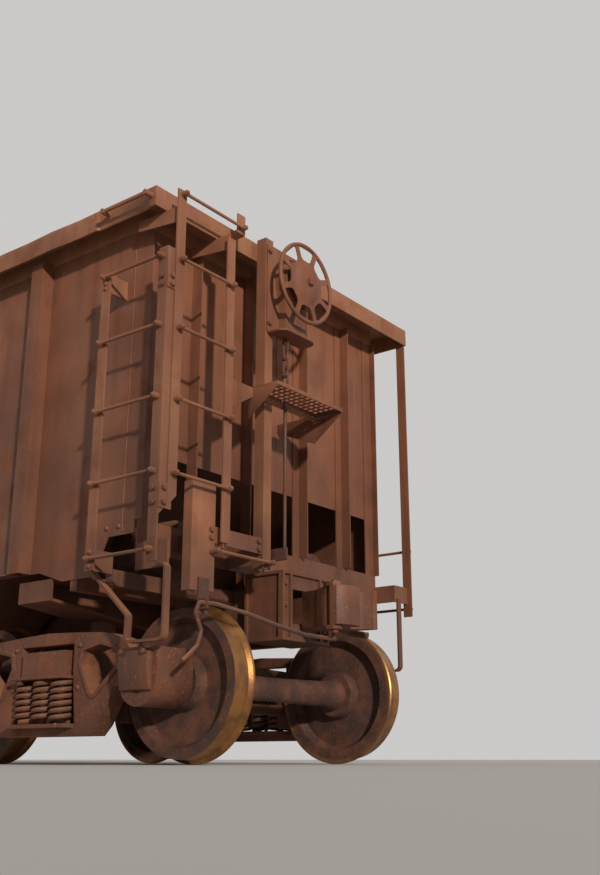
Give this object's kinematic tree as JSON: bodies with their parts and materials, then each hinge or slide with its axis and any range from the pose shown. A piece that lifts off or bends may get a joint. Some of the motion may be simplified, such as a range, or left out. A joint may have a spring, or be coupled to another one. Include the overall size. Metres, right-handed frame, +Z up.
{
  "type": "open ore hopper wagon",
  "caption": "Short open-top steel ore hopper wagon on two bogies, with a corner ladder, hand brake and bottom doors.",
  "frame": {"origin": "middle of the wagon's overall box, on the level of the wheel flange tips", "axes": "+X along the wagon to the hand brake end, +Y across to the side away from the camera, +Z up"},
  "size_m": [8.24, 2.874, 3.31],
  "materials": {
    "body_paint": "worn oxide-red paint with rust and dust",
    "underframe_paint": "dark rusted paint",
    "cast_steel": "rusted casting with dust",
    "wheel_steel": "rusted plate with a worn bright tread",
    "spring_steel": "rusted",
    "bare_rust": "bare rust"
  },
  "bodies": {
    "body": {"air_reservoir": "underframe_paint", "body_bolster_a": "body_paint", "body_bolster_b": "body_paint", "brake_chain": "bare_rust", "brake_cylinder": "underframe_paint", "brake_housing": "body_paint", "brake_pipe": "underframe_paint", "brake_post": "body_paint", "centre_sill": "body_paint", "control_valve": "body_paint", "coupler_a": "cast_steel", "coupler_b": "cast_steel", "cross_ridge": "body_paint", "door_hinges": "bare_rust", "end_posts": "body_paint", "end_sheet_a": "body_paint", "end_sheet_b": "body_paint", "end_sill_a": "body_paint", "end_sill_b": "body_paint", "handholds": "body_paint", "hopper_sides": "body_paint", "knuckle_a": "cast_steel", "knuckle_b": "cast_steel", "ladder_a": "body_paint", "ladder_b": "body_paint", "platform_beams": "body_paint", "side_posts": "body_paint", "side_sheet_left": "body_paint", "side_sheet_right": "body_paint", "side_sills": "body_paint", "sill_hood": "body_paint", "sill_steps": "body_paint", "slope_posts": "body_paint", "slope_sheet_a": "body_paint", "slope_sheet_b": "body_paint", "step_board": "body_paint", "top_chord": "body_paint", "uncoupling_lever_a": "underframe_paint", "uncoupling_lever_b": "underframe_paint"},
    "truck_a": {"truck_a_bolster": "cast_steel", "truck_a_brake_beams": "underframe_paint", "truck_a_journal_lids": "cast_steel", "truck_a_side_frame_left": "cast_steel", "truck_a_side_frame_right": "cast_steel", "truck_a_springs": "spring_steel"},
    "truck_b": {"truck_b_bolster": "cast_steel", "truck_b_brake_beams": "underframe_paint", "truck_b_journal_lids": "cast_steel", "truck_b_side_frame_left": "cast_steel", "truck_b_side_frame_right": "cast_steel", "truck_b_springs": "spring_steel"},
    "brake_wheel": {"brake_wheel": "body_paint"},
    "hopper_door_a": {"hopper_door_a": "body_paint"},
    "hopper_door_b": {"hopper_door_b": "body_paint"},
    "wheelset_a_inner": {"truck_a_wheelset_inner": "wheel_steel"},
    "wheelset_a_outer": {"truck_a_wheelset_outer": "wheel_steel"},
    "wheelset_b_inner": {"truck_b_wheelset_inner": "wheel_steel"},
    "wheelset_b_outer": {"truck_b_wheelset_outer": "wheel_steel"}
  },
  "joints": [
    {"name": "truck_a_swivel", "type": "hinge", "parent": "body", "child": "truck_a", "pos_m": [-2.58, 0, 0.679], "axis": [0, 0, 1], "range_deg": [-5, 5]},
    {"name": "wheelset_a_outer_spin", "type": "hinge", "parent": "truck_a", "child": "wheelset_a_outer", "pos_m": [-3.4435, 0, 0.444], "axis": [0, 1, 0], "continuous": true},
    {"name": "wheelset_a_inner_spin", "type": "hinge", "parent": "truck_a", "child": "wheelset_a_inner", "pos_m": [-1.7165, 0, 0.444], "axis": [0, 1, 0], "continuous": true},
    {"name": "hopper_door_a_swing", "type": "hinge", "parent": "body", "child": "hopper_door_a", "pos_m": [-0.26705, 0, 0.75435], "axis": [0, -1, 0], "range_deg": [0, 50]},
    {"name": "truck_b_swivel", "type": "hinge", "parent": "body", "child": "truck_b", "pos_m": [2.58, 0, 0.679], "axis": [0, 0, 1], "range_deg": [-5, 5]},
    {"name": "wheelset_b_outer_spin", "type": "hinge", "parent": "truck_b", "child": "wheelset_b_outer", "pos_m": [3.4435, 0, 0.444], "axis": [0, 1, 0], "continuous": true},
    {"name": "wheelset_b_inner_spin", "type": "hinge", "parent": "truck_b", "child": "wheelset_b_inner", "pos_m": [1.7165, 0, 0.444], "axis": [0, 1, 0], "continuous": true},
    {"name": "hopper_door_b_swing", "type": "hinge", "parent": "body", "child": "hopper_door_b", "pos_m": [0.26705, 0, 0.75435], "axis": [0, 1, 0], "range_deg": [0, 50]},
    {"name": "brake_wheel_turn", "type": "hinge", "parent": "body", "child": "brake_wheel", "pos_m": [3.895, -0.225, 3], "axis": [1, 0, 0], "continuous": true}
  ]
}
